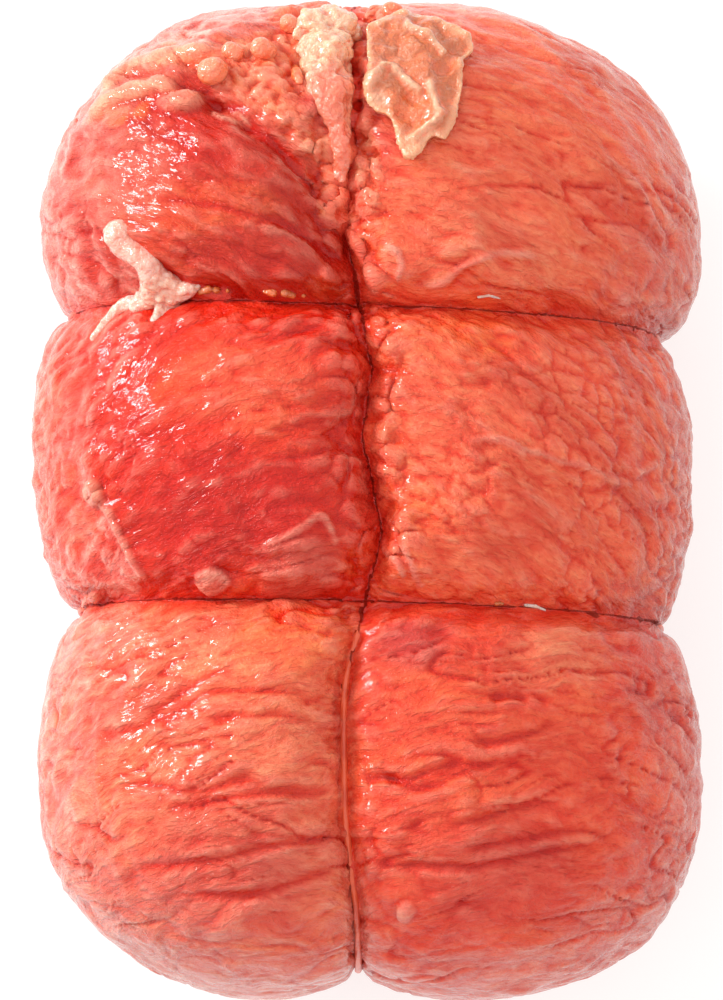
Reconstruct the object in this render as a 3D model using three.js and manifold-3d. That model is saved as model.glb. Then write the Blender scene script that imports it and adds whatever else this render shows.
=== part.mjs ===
// A raw veal paupiette: a roll of veal tied once along and twice across, so that it bulges into six lobes.
// Millimetres. X runs across the roll, Y along it and Z up from the surface that it rests on.
// The origin is under the middle of the roll, on its flat underside.

import * as THREE from "three";
import { mergeVertices } from "three/addons/utils/BufferGeometryUtils.js";
import { ImprovedNoise } from "three/addons/math/ImprovedNoise.js";
import Module from "manifold-3d";

// The roll
const HALF_WIDTH = 30.2; // over the widest lobes
const TOP_RISE = 24.4; // from the widest level up to the tops of the lobes
const BELLY_DROP = 23.4; // from the widest level down, before the underside is pressed flat
const WIDEST_LEVEL = 20.4; // height of the widest level over the table
const TOP_SQUARENESS = 2.2; // 2 is an ellipse, more is squarer
const BELLY_SQUARENESS = 2.5;

// The rounded ends: each starts at a shoulder and reaches past it
const FAR_SHOULDER = 21.6;
const FAR_REACH = 23.9;
const FAR_SQUARENESS = 2.42;
const NEAR_SHOULDER = -24.0;
const NEAR_REACH = 21.3;
const NEAR_SQUARENESS = 2.65;

// The valleys that the tie pulls into the meat: how deep they are on top and on the [left, right] side
const FAR_VALLEY = { at: 15.5, top: 5.4, side: [3.4, 3.6], farWidth: 8.5, nearWidth: 12 };
const NEAR_VALLEY = { at: -10.8, top: 5.2, side: [4.3, 3.2], farWidth: 12, nearWidth: 13 };
const LONG_VALLEY = { depth: 4.6, width: 12.5, farEndDepth: 1.4, nearEndDepth: 3.2 };
// The crosswise valleys run a little towards the near end on the right, by this share of the distance across
const FAR_END_SLOPE = 0.004;
const FAR_SLOPE = 0.038;
const NEAR_SLOPE = 0.03;
const VALLEY_BLEND = 3; // how two crossing valleys join: 1 adds them, more keeps the deeper one
const PILLOW_ROUNDNESS = 0.7; // 1 makes the lobes' sides quarter circles, 0 parabolas
// Where the lengthwise valley wanders: [distance along, offset across]
const LONG_WANDER = [
  [-44, -0.7],
  [-29, -1.9],
  [-19, -2.0],
  [-10.8, -0.1],
  [-5.1, 1.4],
  [-1, 0.7],
  [3.5, -0.3],
  [9.9, 0.6],
  [15.5, -0.5],
  [26, -2.4],
  [31, -2.1],
  [45, -1.0],
];

// How much the side of each lobe is drawn in, [left, right], and half the length over which that changes
const FAR_TRIM = [0.9, -0.1];
const MIDDLE_TRIM = [0.1, 0.9];
const NEAR_TRIM = [0.9, 0];
const CHANGEOVER = 2;

// The uneven flesh: gentle swellings, and wrinkles that run across
const SWELL = { size: 11, height: 0.55 };
const WRINKLE = { across: 13, along: 5.2, height: 0.28 };
const CREASE_STEPS = 24;
const CREASE_SHARPNESS = 1.5;
const TOP_LEAN = 0.35; // the features on top fade out where the skin leans over further than this

// The mesh of the skin
const COLUMNS = 58;
const SEAM_CROWDING = 0.72; // 0 spaces the columns evenly, 1 crowds them into the lengthwise valley
const END_ROWS = 12;
const FAR_ROWS = 5;
const MIDDLE_ROWS = 15;
const NEAR_ROWS = 8;

// The tie
const THREAD = 0.8; // diameter
const THREAD_SIDES = 5;
const THREAD_PROUD = 0.12; // the thread's middle stands this far out of the valley floor
const LONG_TIE_STEPS = 56;
const CROSS_TIE_STEPS = 36;
const GAP = 0.3; // between two pieces
const SAME_PLACE = 1e-4; // corners nearer than this are one

// The pieces of fat that lie on the meat. A blob is [across, along, radius] on the plan of the roll.
const LUMP_BLOBS = [
  [-4.4, 40.5, 2.0],
  [-2.7, 40.7, 2.0],
  [-4.4, 38.4, 1.8],
  [-2.7, 38.1, 1.7],
  [-3.4, 36.0, 1.8],
  [-3.1, 34.0, 1.45],
  [-2.8, 32.1, 1.2],
  [-2.5, 30.4, 0.9],
];
const STRAND_BLOBS = [
  [-22.0, 22.2, 1.4],
  [-21.4, 21.2, 1.3],
  [-20.4, 20.3, 1.2],
  [-19.5, 19.4, 1.2],
  [-18.9, 18.3, 1.3],
  [-17.3, 17.1, 1.4],
  [-15.8, 17.2, 1.1],
  [-18.8, 16.6, 1.4],
  [-19.3, 15.0, 1.1],
  [-20.5, 15.9, 1.2],
  [-22.0, 15.5, 1.0],
];
const BRIDGE_REACH = 2.0; // fat spans a valley from this far on either side of it
const LARGE_BLOB = 1.45; // radius from which a blob is made rounder
const BLOB_DENTS = 0.22; // share of the radius
const FLAKE_THICKNESS = 1.2;
const FLAKE_STEPS = 40;
const FLAKE_OUTLINE = [
  [0.0, 40.1],
  [1.2, 41.1],
  [3.0, 42.0],
  [5.6, 41.6],
  [9.0, 39.6],
  [9.5, 38.1],
  [8.4, 37.0],
  [8.6, 35.2],
  [8.0, 32.3],
  [7.0, 29.5],
  [5.8, 29.9],
  [5.1, 28.7],
  [3.7, 27.8],
  [3.0, 29.3],
  [2.1, 31.7],
  [0.8, 32.3],
  [-0.1, 34.0],
  [0.4, 35.4],
];

const radians = THREE.MathUtils.degToRad;
const clamp01 = (value) => THREE.MathUtils.clamp(value, 0, 1);
const noise = new ImprovedNoise();

const wasm = await Module();
wasm.setup();

// ---- the form of the roll ----

function signedPower(value, power) {
  return Math.sign(value) * Math.abs(value) ** power;
}

// The side of a lobe: 1 on the valley's line, 0 at its width, round like a pillow.
function pillow(distance, width) {
  const near = 1 - clamp01(distance / width);
  const round = 1 - Math.sqrt(1 - near * near);
  return THREE.MathUtils.lerp(near * near, round, PILLOW_ROUNDNESS);
}

function crossValley(valley, along, out) {
  const width = along > valley.at ? valley.farWidth : valley.nearWidth;
  const depth = THREE.MathUtils.lerp(valley.top, valley.side[out.x < 0 ? 0 : 1], Math.abs(out.x));
  return depth * pillow(Math.abs(along - valley.at), width);
}

function longValley(across, along) {
  const end = THREE.MathUtils.smoothstep(Math.abs(along), -NEAR_SHOULDER, -NEAR_SHOULDER + NEAR_REACH);
  const endDepth = along > 0 ? LONG_VALLEY.farEndDepth : LONG_VALLEY.nearEndDepth;
  const depth = THREE.MathUtils.lerp(LONG_VALLEY.depth, endDepth, end);
  return depth * pillow(Math.abs(across), LONG_VALLEY.width);
}

// A value that each lobe has, changing over at the valleys.
function byLobe(along, far, middle, near) {
  const past = (distance) => THREE.MathUtils.smoothstep(distance, -CHANGEOVER, CHANGEOVER);
  const farShare = past(along - FAR_VALLEY.at);
  const nearShare = past(NEAR_VALLEY.at - along);
  return middle + (far - middle) * farShare + (near - middle) * nearShare;
}

function crossSlope(along) {
  const past = clamp01((along - FAR_VALLEY.at) / (FAR_SHOULDER + FAR_REACH - FAR_VALLEY.at));
  const between = clamp01((along - NEAR_VALLEY.at) / (FAR_VALLEY.at - NEAR_VALLEY.at));
  return THREE.MathUtils.lerp(THREE.MathUtils.lerp(NEAR_SLOPE, FAR_SLOPE, between), FAR_END_SLOPE, past);
}

function wander(along) {
  const next = LONG_WANDER.findIndex(([at]) => at > along);
  if (next === 0) return LONG_WANDER[0][1];
  if (next < 0) return LONG_WANDER.at(-1)[1];
  const [[fromAt, from], [toAt, to]] = LONG_WANDER.slice(next - 1, next + 1);
  return THREE.MathUtils.lerp(from, to, THREE.MathUtils.smoothstep(along, fromAt, toAt));
}

// A row of the skin is { along, fullness }: its place on the roll and how full the roll is there.
function smoothLoaf(row, turn) {
  const squareness = Math.sin(turn) > 0 ? TOP_SQUARENESS : BELLY_SQUARENESS;
  const rise = Math.sin(turn) > 0 ? TOP_RISE : BELLY_DROP;
  const across = -HALF_WIDTH * row.fullness * signedPower(Math.cos(turn), 2 / squareness);
  const height = rise * row.fullness * signedPower(Math.sin(turn), 2 / squareness);
  return new THREE.Vector3(across, row.along, WIDEST_LEVEL + height);
}

// The way out of the roll: the slope of the closed form that the ends and the section make.
function outward(row, point) {
  const height = point.z - WIDEST_LEVEL;
  const squareness = height > 0 ? TOP_SQUARENESS : BELLY_SQUARENESS;
  const rise = height > 0 ? TOP_RISE : BELLY_DROP;
  const far = row.along > FAR_SHOULDER;
  const near = row.along < NEAR_SHOULDER;
  const reach = far ? FAR_REACH : NEAR_REACH;
  const endSquareness = far ? FAR_SQUARENESS : NEAR_SQUARENESS;
  const past = far ? row.along - FAR_SHOULDER : near ? row.along - NEAR_SHOULDER : 0;
  const out = new THREE.Vector3(
    signedPower(point.x / HALF_WIDTH, squareness - 1) / HALF_WIDTH,
    signedPower(past / reach, endSquareness - 1) / reach,
    signedPower(height / rise, squareness - 1) / rise,
  );
  return out.normalize();
}

// ---- the features that show on top ----

// Each crease runs through points [across, along].
const CREASES = [
  // the edge of the ragged wedge of meat at the far end
  { points: [[-14.2, 33.6], [-11.1, 32], [-6.7, 28.9], [-3.7, 25.2], [-1.8, 22.4]], width: 2.6, depth: 2.0 },
  // a long natural crease over the far left lobe
  { points: [[-18.5, 26.5], [-12, 25.8], [-6.5, 23.6], [-2, 19.6]], width: 2.4, depth: 0.7 },
  // the raised edge of the membrane on the middle left lobe
  { points: [[-24.5, 2], [-23, -2], [-21, -7], [-19, -9]], width: 2.2, depth: -0.7 },
  // the raised vein on the middle right lobe
  { points: [[10.2, 4.6], [14.5, 3.6], [18, 2.4], [22, 0.6], [24.6, 1]], width: 2.0, depth: -0.6 },
];

// Each lump or hollow has its middle [across, along], radius and height.
const LUMPS = [
  { at: [-6.6, 37.6], radius: 4.6, height: -1.5 },
  { at: [-8.6, 35.8], radius: 2.4, height: 1.2 },
  { at: [-5.0, 33.2], radius: 2.2, height: 1.1 },
  { at: [-3.6, 29.6], radius: 1.8, height: 0.9 },
  { at: [-13.4, 38.8], radius: 2.6, height: 1.3 },
  { at: [-17.0, 36.6], radius: 2.8, height: 1.0 },
  { at: [-21.5, 34.2], radius: 3.2, height: 0.9 },
  { at: [0.6, 24.6], radius: 1.9, height: 1.3 },
  { at: [0.4, 21.2], radius: 1.8, height: 1.2 },
  { at: [9, 19.8], radius: 3.6, height: 0.8 },
  { at: [17, 20.4], radius: 3.6, height: 0.7 },
  { at: [-5.5, -6.6], radius: 3.4, height: 0.9 },
  { at: [3.2, -6.0], radius: 2.2, height: 1.1 },
  { at: [-13.8, -7.6], radius: 1.5, height: 0.9 },
];

function onPlan([across, along]) {
  return new THREE.Vector3(across, along, 0);
}

const creaseLines = CREASES.map(({ points, width, depth }) => {
  const line = new THREE.CatmullRomCurve3(points.map(onPlan)).getPoints(CREASE_STEPS);
  return { line, width, depth };
});

function relief(point, topness) {
  const swell = noise.noise(point.x / SWELL.size, point.y / SWELL.size, point.z / SWELL.size);
  const wrinkle = noise.noise(point.x / WRINKLE.across, point.y / WRINKLE.along, point.z / WRINKLE.across);
  let height = SWELL.height * swell + WRINKLE.height * wrinkle;
  if (topness <= 0) return height;
  const plan = onPlan([point.x, point.y]);
  for (const { line, width, depth } of creaseLines) {
    const distance = Math.min(...line.map((spot) => spot.distanceTo(plan)));
    height -= topness * depth * (1 - clamp01(distance / width)) ** CREASE_SHARPNESS;
  }
  for (const { at, radius, height: rise } of LUMPS) {
    const reach = clamp01(Math.hypot(plan.x - at[0], plan.y - at[1]) / radius);
    height += topness * rise * (1 - reach * reach) ** 2;
  }
  return height;
}

// A point of the skin, or of a skin that stands a little proud of it.
function skinPoint(row, turn, proud = 0) {
  const point = smoothLoaf(row, turn);
  const out = outward(row, point);
  const depths = [
    crossValley(FAR_VALLEY, row.along, out),
    crossValley(NEAR_VALLEY, row.along, out),
    longValley(point.x, row.along),
  ];
  const depth = depths.reduce((sum, each) => sum + each ** VALLEY_BLEND, 0) ** (1 / VALLEY_BLEND);
  const hand = point.x < 0 ? 0 : 1;
  const trim = out.x ** 2 * byLobe(row.along, FAR_TRIM[hand], MIDDLE_TRIM[hand], NEAR_TRIM[hand]);
  point.addScaledVector(out, -depth - trim);
  point.x += wander(row.along) * (1 - clamp01(Math.abs(point.x) / HALF_WIDTH)) ** 2;
  point.y -= crossSlope(row.along) * point.x * row.fullness;
  const topness = THREE.MathUtils.smoothstep(out.z, 0, TOP_LEAN);
  return point.addScaledVector(out, relief(point, topness) + proud);
}

// ---- the rows and columns of the skin ----

function endRow(share, shoulder, reach, squareness) {
  const angle = radians(90 * share);
  return {
    along: shoulder + reach * signedPower(Math.cos(angle), 2 / squareness),
    fullness: signedPower(Math.sin(angle), 2 / squareness),
  };
}

// Rows from one place to another, crowded towards the valleys that they start from or end at.
function stretch(from, to, rows, fromValley, toValley) {
  return Array.from({ length: rows }, (_, index) => {
    const share = index / rows;
    const start = fromValley ? 0 : Math.PI / 2;
    const end = toValley ? Math.PI : Math.PI / 2;
    const angle = THREE.MathUtils.lerp(start, end, share);
    const eased = (Math.cos(start) - Math.cos(angle)) / (Math.cos(start) - Math.cos(end));
    return { along: THREE.MathUtils.lerp(from, to, (eased + share) / 2), fullness: 1 };
  });
}

function skinRows() {
  const shares = Array.from({ length: END_ROWS }, (_, index) => index / END_ROWS);
  const farEnd = shares.map((share) => endRow(share, FAR_SHOULDER, FAR_REACH, FAR_SQUARENESS));
  const nearEnd = shares.map((share) => endRow(share, NEAR_SHOULDER, -NEAR_REACH, NEAR_SQUARENESS));
  return [
    ...farEnd,
    ...stretch(FAR_SHOULDER, FAR_VALLEY.at, FAR_ROWS, false, true),
    ...stretch(FAR_VALLEY.at, NEAR_VALLEY.at, MIDDLE_ROWS, true, true),
    ...stretch(NEAR_VALLEY.at, NEAR_SHOULDER, NEAR_ROWS, true, false),
    { along: NEAR_SHOULDER, fullness: 1 },
    ...nearEnd.reverse(),
  ];
}

// The turn about the roll, from the top valley down the right side and back up the left one.
function columnTurn(column) {
  const half = COLUMNS / 2;
  const share = (column % half) / half;
  const crowded = (1 - Math.cos(Math.PI * share)) / 2;
  const eased = THREE.MathUtils.lerp(share, crowded, SEAM_CROWDING);
  return radians(90 + 180 * (Math.floor(column / half) + eased));
}

// ---- solids ----

function solidOf(geometry) {
  const bare = geometry.clone();
  bare.deleteAttribute("normal");
  bare.deleteAttribute("uv");
  const merged = mergeVertices(bare, SAME_PLACE);
  return new wasm.Manifold(
    new wasm.Mesh({
      numProp: 3,
      vertProperties: new Float32Array(merged.attributes.position.array),
      triVerts: new Uint32Array(merged.index.array),
    }),
  );
}

function geometryOf(solid) {
  const { vertProperties, triVerts } = solid.getMesh();
  const geometry = new THREE.BufferGeometry();
  geometry.setAttribute("position", new THREE.BufferAttribute(vertProperties, 3));
  geometry.setIndex(new THREE.BufferAttribute(triVerts, 1));
  geometry.computeVertexNormals();
  return geometry;
}

function union(solids) {
  return solids.reduce((sum, solid) => sum.add(solid));
}

const rows = skinRows();

function skinSolid(proud = 0) {
  const geometry = new THREE.SphereGeometry(1, COLUMNS, rows.length - 1);
  const position = geometry.attributes.position;
  rows.forEach((row, rowIndex) => {
    for (let column = 0; column <= COLUMNS; column += 1) {
      const point = skinPoint(row, columnTurn(column % COLUMNS), proud);
      position.setXYZ(rowIndex * (COLUMNS + 1) + column, point.x, point.y, point.z);
    }
  });
  return solidOf(geometry);
}

// What lies above the table.
function aboveTable() {
  const size = 3 * LONG_TIE_STEPS;
  return solidOf(new THREE.BoxGeometry(size, size, size).translate(0, 0, size / 2));
}

function tube(points, steps, radius) {
  const route = new THREE.CatmullRomCurve3(points, true);
  return solidOf(new THREE.TubeGeometry(route, steps, radius, THREAD_SIDES, true));
}

// ---- the tie ----

// The thread lies on the floor of each valley, all the way round.
function crossRoute(valley) {
  const row = { along: valley.at, fullness: 1 };
  return Array.from({ length: CROSS_TIE_STEPS }, (_, step) =>
    skinPoint(row, columnTurn((step * COLUMNS) / CROSS_TIE_STEPS), THREAD_PROUD),
  );
}

function longRoute() {
  const top = rows.map((row) => skinPoint(row, radians(90), THREAD_PROUD));
  const below = rows.map((row) => skinPoint(row, radians(270), THREAD_PROUD));
  return [...top, ...below.slice(1, -1).reverse()];
}

function tieSolid(radius) {
  return union([
    tube(longRoute(), LONG_TIE_STEPS, radius),
    tube(crossRoute(FAR_VALLEY), CROSS_TIE_STEPS, radius),
    tube(crossRoute(NEAR_VALLEY), CROSS_TIE_STEPS, radius),
  ]);
}

// ---- the fat ----

// The height of the meat's upper side at a place on the plan.
function topAt(across, along, skinMesh) {
  const above = new THREE.Vector3(across, along, WIDEST_LEVEL + 2 * TOP_RISE);
  const down = new THREE.Vector3(0, 0, -1);
  return new THREE.Raycaster(above, down).intersectObject(skinMesh)[0].point.z;
}

// Where fat lies: on the skin, or straight across a valley in it.
function restingHeight(across, along, skinMesh) {
  const top = (x, y) => topAt(across + x * BRIDGE_REACH, along + y * BRIDGE_REACH, skinMesh);
  return Math.max(top(0, 0), (top(1, 0) + top(-1, 0)) / 2, (top(0, 1) + top(0, -1)) / 2);
}

function blobSolid([across, along, radius], skinMesh) {
  const geometry = new THREE.IcosahedronGeometry(radius, radius > LARGE_BLOB ? 2 : 1);
  const position = geometry.attributes.position;
  const corner = new THREE.Vector3();
  for (let index = 0; index < position.count; index += 1) {
    corner.fromBufferAttribute(position, index);
    const dent = noise.noise(corner.x + across, corner.y + along, corner.z);
    corner.multiplyScalar(1 + BLOB_DENTS * dent);
    position.setXYZ(index, corner.x, corner.y, corner.z);
  }
  return solidOf(geometry.translate(across, along, restingHeight(across, along, skinMesh)));
}

function flakePrism() {
  const rim = new THREE.CatmullRomCurve3(FLAKE_OUTLINE.map(onPlan), true).getPoints(FLAKE_STEPS);
  const outline = new THREE.Shape(rim.slice(0, -1).map(({ x, y }) => new THREE.Vector2(x, y)));
  const prism = new THREE.ExtrudeGeometry(outline, { depth: 2 * TOP_RISE, bevelEnabled: false });
  return solidOf(prism.translate(0, 0, WIDEST_LEVEL));
}

// ---- the pieces ----

function piece(name, solid, colour, roughness) {
  const material = new THREE.MeshStandardMaterial({ color: colour, roughness, metalness: 0 });
  const mesh = new THREE.Mesh(geometryOf(solid), material);
  mesh.name = name;
  return mesh;
}

const skin = skinSolid();
const skinMesh = new THREE.Mesh(geometryOf(skin));
const channel = tieSolid(THREAD / 2 + GAP);
const hollowForFat = skinSolid(GAP).add(channel);
const lump = union(LUMP_BLOBS.map((blob) => blobSolid(blob, skinMesh))).subtract(hollowForFat);
const strand = union(STRAND_BLOBS.map((blob) => blobSolid(blob, skinMesh))).subtract(hollowForFat);
const flake = flakePrism().intersect(skinSolid(GAP + FLAKE_THICKNESS)).subtract(hollowForFat);

const group = new THREE.Group();
group.add(
  piece("meat", skin.subtract(channel).intersect(aboveTable()), 0xe8644c, 0.38),
  piece("tie", tieSolid(THREAD / 2), 0xd8603c, 0.45),
  piece("fat_lump", lump, 0xf8cdac, 0.35),
  piece("fat_flake", flake, 0xe89c74, 0.35),
  piece("fat_strand", strand, 0xfbd6cc, 0.32),
);
export default group;
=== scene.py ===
"""A raw veal paupiette: wet veal tied into six lobes, with scraps of fat on it, on a pale studio floor."""

import logging
from dataclasses import dataclass
from enum import Enum

import bpy
import numpy as np
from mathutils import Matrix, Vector, noise
from mathutils.bvhtree import BVHTree


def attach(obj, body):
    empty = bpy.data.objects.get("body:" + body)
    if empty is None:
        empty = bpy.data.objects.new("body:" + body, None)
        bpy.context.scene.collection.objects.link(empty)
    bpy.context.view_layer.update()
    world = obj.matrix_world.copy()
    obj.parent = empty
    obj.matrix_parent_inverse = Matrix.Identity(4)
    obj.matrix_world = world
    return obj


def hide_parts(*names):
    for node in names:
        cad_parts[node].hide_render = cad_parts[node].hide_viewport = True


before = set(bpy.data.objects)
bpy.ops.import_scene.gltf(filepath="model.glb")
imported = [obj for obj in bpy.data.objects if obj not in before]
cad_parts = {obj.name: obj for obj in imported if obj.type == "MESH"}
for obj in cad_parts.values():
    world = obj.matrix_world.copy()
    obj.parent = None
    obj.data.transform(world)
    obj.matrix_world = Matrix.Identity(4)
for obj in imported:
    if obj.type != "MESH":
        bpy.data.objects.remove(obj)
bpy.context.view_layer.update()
MM = 0.001

Plan = tuple[float, float]
Colour = tuple[float, float, float]
Line = tuple[Plan, ...]

# between these places along the roll, the lengthwise valley closes over the tie
TIE_HIDDEN: tuple[float, float] = (-13.5, -11.5)
# between these heights, the lower part of the roll turns into its upper part
UPPER_PART: tuple[float, float] = (24.0, 29.0)


# ---- colours ----


def tint(red: int, green: int, blue: int) -> Colour:
    """Turn a display colour into the linear colour that materials take.

    Args:
        red: Red, 0 to 255.
        green: Green, 0 to 255.
        blue: Blue, 0 to 255.

    Returns:
        The linear colour, each part 0 to 1.
    """
    shares = np.array([red, green, blue]) / 255
    linear = np.where(shares <= 0.04045, shares / 12.92, ((shares + 0.055) / 1.055) ** 2.4)
    return tuple(float(part) for part in linear)


class Flesh(Enum):
    """The colours of the meat and of what is on it, and the painted shade of its valleys and hollows."""

    SCARLET = tint(198, 46, 26)
    SALMON = tint(250, 116, 80)
    # RED_VEAL also paints shade into the creases of the near left lobe
    RED_VEAL = tint(226, 54, 26)
    APRICOT = tint(242, 122, 88)
    ROSE = tint(242, 90, 60)
    # RED also paints shade into creases, gaps between grains and hollows
    RED = tint(204, 18, 8)
    # painted shade: the dark red laid on the valley lines and hollows
    DEEP = tint(214, 38, 22)
    BLOOD = tint(196, 18, 8)
    ORANGE = tint(252, 116, 62)
    PEACH = tint(248, 146, 108)
    VIOLET = tint(206, 70, 68)
    # PINK and SILVER also paint light on raised spots and on the rims towards the key light; GREY paints
    # shade on the rims away from it
    PINK = tint(240, 144, 124)
    SILVER = tint(248, 188, 172)
    GREY = tint(204, 96, 80)
    WEDGE = tint(255, 140, 104)
    FAT = tint(248, 180, 140)
    CREAM = tint(240, 190, 158)
    PEARL = tint(252, 214, 200)
    AMBER = tint(202, 100, 44)
    TAN = tint(204, 106, 60)
    TIE = tint(230, 92, 54)
    STAIN = tint(206, 68, 40)


# ---- shaping many points together ----


def smooth_step(low: float, high: float, value: np.ndarray) -> np.ndarray:
    """Rise smoothly from 0 to 1.

    Args:
        low: Where the rise starts.
        high: Where it ends.
        value: The values to look up.

    Returns:
        The share for each value, 0 to 1.
    """
    share = np.clip((value - low) / (high - low), 0, 1)
    return share * share * (3 - 2 * share)


def cloud(points: np.ndarray, cell: tuple[float, float, float], seed: float = 0) -> np.ndarray:
    """Sample smooth noise at many points.

    Args:
        points: Places in millimetres, one row each.
        cell: The noise's cell size along each axis, in millimetres.
        seed: Moves the noise, so that two calls differ.

    Returns:
        The noise at each place, about -1 to 1.
    """
    places = points / np.array(cell) + seed * 17.3
    return np.array([noise.noise(place) for place in places.tolist()])


def wandering(points: np.ndarray, cell: float, amount: float, seed: float) -> np.ndarray:
    """Push points about by smooth noise.

    Args:
        points: Places in millimetres, one row each.
        cell: The noise's cell size in millimetres.
        amount: How far the points go, in millimetres.
        seed: Moves the noise.

    Returns:
        The pushed places.
    """
    pushes = [cloud(points[:, :3], (cell, cell, cell), seed + index) for index in range(points.shape[1])]
    return points + amount * np.stack(pushes, axis=1)


def creases(points: np.ndarray, cell: tuple[float, float, float], width: float, seed: float) -> np.ndarray:
    """Find thin wandering creases, where smooth noise passes through zero.

    Args:
        points: Places in millimetres, one row each.
        cell: The spacing of the creases along each axis, in millimetres.
        width: The half width of a crease, as a share of the noise's range.
        seed: Moves the creases.

    Returns:
        How far into a crease each place is, 0 to 1.
    """
    level = np.abs(cloud(points, cell, seed))
    return np.clip(1 - level / width, 0, 1) ** 1.5


def pebbles(
    points: np.ndarray, size: tuple[float, float, float], where: np.ndarray
) -> tuple[np.ndarray, np.ndarray]:
    """Find uneven rounded grains packed side by side.

    Args:
        points: Places in millimetres, one row each.
        size: A grain's size along each axis, in millimetres.
        where: The share of the grains at each place; only places above zero are looked at.

    Returns:
        How high each place is on its grain, and how deep it is in a gap, both 0 to 1.
    """
    dome, gap = np.zeros(len(points)), np.zeros(len(points))
    inside = np.flatnonzero(where > 0.01)
    cells = [noise.voronoi(place)[0] for place in (points[inside] / np.array(size)).tolist()]
    near = np.array([cell[:2] for cell in cells]).reshape(-1, 2)
    dome[inside] = np.clip(1 - (near[:, 0] / 0.8) ** 2, 0, 1)
    gap[inside] = 1 - smooth_step(0.0, 0.2, near[:, 1] - near[:, 0])
    return dome, gap


def rounded(line: Line, passes: int = 2) -> np.ndarray:
    """Round a line's corners by cutting them.

    Args:
        line: The line's points.
        passes: How many times its corners are cut.

    Returns:
        The rounded line's points.
    """
    points = np.array(line, float)
    for _ in range(passes):
        if len(points) < 3:
            break
        early = points[:-1] * 0.75 + points[1:] * 0.25
        late = points[:-1] * 0.25 + points[1:] * 0.75
        middle = np.stack([early, late], axis=1).reshape(-1, 2)
        points = np.vstack([points[:1], middle[1:-1], points[-1:]])
    return points


class Profile(Enum):
    """The section of a stroke."""

    CREASE = "a sharp valley or ridge"
    ROUND = "a rounded one"


@dataclass(frozen=True)
class Mark:
    """How a stroke is worked into the meat, in millimetres.

    A height below zero presses the line in. The colour is laid over the same width.
    """

    width: float
    height: float
    profile: Profile = Profile.CREASE
    colour: Flesh | None = None
    strength: float = 0.0
    taper: float = 0.18

    def reach(self, line: Line, plan: np.ndarray) -> np.ndarray:
        """Weigh each place by how much of a stroke along a line it gets.

        Args:
            line: The stroke's points on the plan.
            plan: Places on the plan, one row each.

        Returns:
            The stroke's share at each place, 0 to 1.
        """
        points = rounded(line)
        low, high = points.min(axis=0) - self.width, points.max(axis=0) + self.width
        near = np.flatnonzero(((plan > low) & (plan < high)).all(axis=1))
        share = np.zeros(len(plan))
        if len(near):
            share[near] = self._section(*self._measure(points, plan[near]))
        return share

    def _measure(self, line: np.ndarray, plan: np.ndarray) -> tuple[np.ndarray, np.ndarray]:
        """Find each place's distance from a line and how far along it is.

        Args:
            line: The line's points.
            plan: Places on the plan, one row each.

        Returns:
            The distances and the shares of the line's length.
        """
        best, share = np.full(len(plan), np.inf), np.zeros(len(plan))
        lengths = np.linalg.norm(np.diff(line, axis=0), axis=1)
        starts = np.concatenate([[0], np.cumsum(lengths)])
        for start, end, length, gone in zip(line[:-1], line[1:], lengths, starts[:-1]):
            along = (end - start) / max(length, 1e-9)
            offset = plan - start
            travel = np.clip(offset @ along, 0, length)
            distance = np.linalg.norm(offset - travel[:, None] * along, axis=1)
            nearer = distance < best
            best = np.where(nearer, distance, best)
            share = np.where(nearer, (gone + travel) / starts[-1], share)
        return best, share

    def _section(self, distance: np.ndarray, share: np.ndarray) -> np.ndarray:
        """Turn distances from the line into the stroke's section.

        Args:
            distance: The distances.
            share: How far along the line each place is, 0 to 1.

        Returns:
            The stroke's share, 0 to 1.
        """
        ends = np.minimum(share, 1 - share) / max(self.taper, 1e-6)
        fade = smooth_step(0, 1, ends) if self.taper > 0 else 1.0
        near = np.clip(1 - distance / self.width, 0, 1)
        if self.profile is Profile.CREASE:
            return fade * near**1.4
        return fade * (1 - (1 - near) ** 2) ** 2


Strokes = tuple[tuple[Mark, tuple[Line, ...]], ...]


@dataclass(frozen=True)
class Patch:
    """A patch on the plan of the roll, in millimetres, raised or sunk and coloured with a soft rim."""

    at: Plan
    reach: Plan
    colour: Flesh | None = None
    strength: float = 0.0
    turn: float = 0.0
    height: float = 0.0
    hardness: float = 1.0

    def share(self, plan: np.ndarray) -> np.ndarray:
        """Weigh each place by how much of the patch it gets.

        Args:
            plan: Places on the plan, one row each.

        Returns:
            The patch's share at each place, 0 to 1.
        """
        angle = np.radians(self.turn)
        offset = plan - np.array(self.at)
        across = (offset[:, 0] * np.cos(angle) + offset[:, 1] * np.sin(angle)) / self.reach[0]
        along = (offset[:, 1] * np.cos(angle) - offset[:, 0] * np.sin(angle)) / self.reach[1]
        inside = np.clip(1 - (across**2 + along**2), 0, 1)
        return smooth_step(0, 1 / self.hardness, inside)


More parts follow.
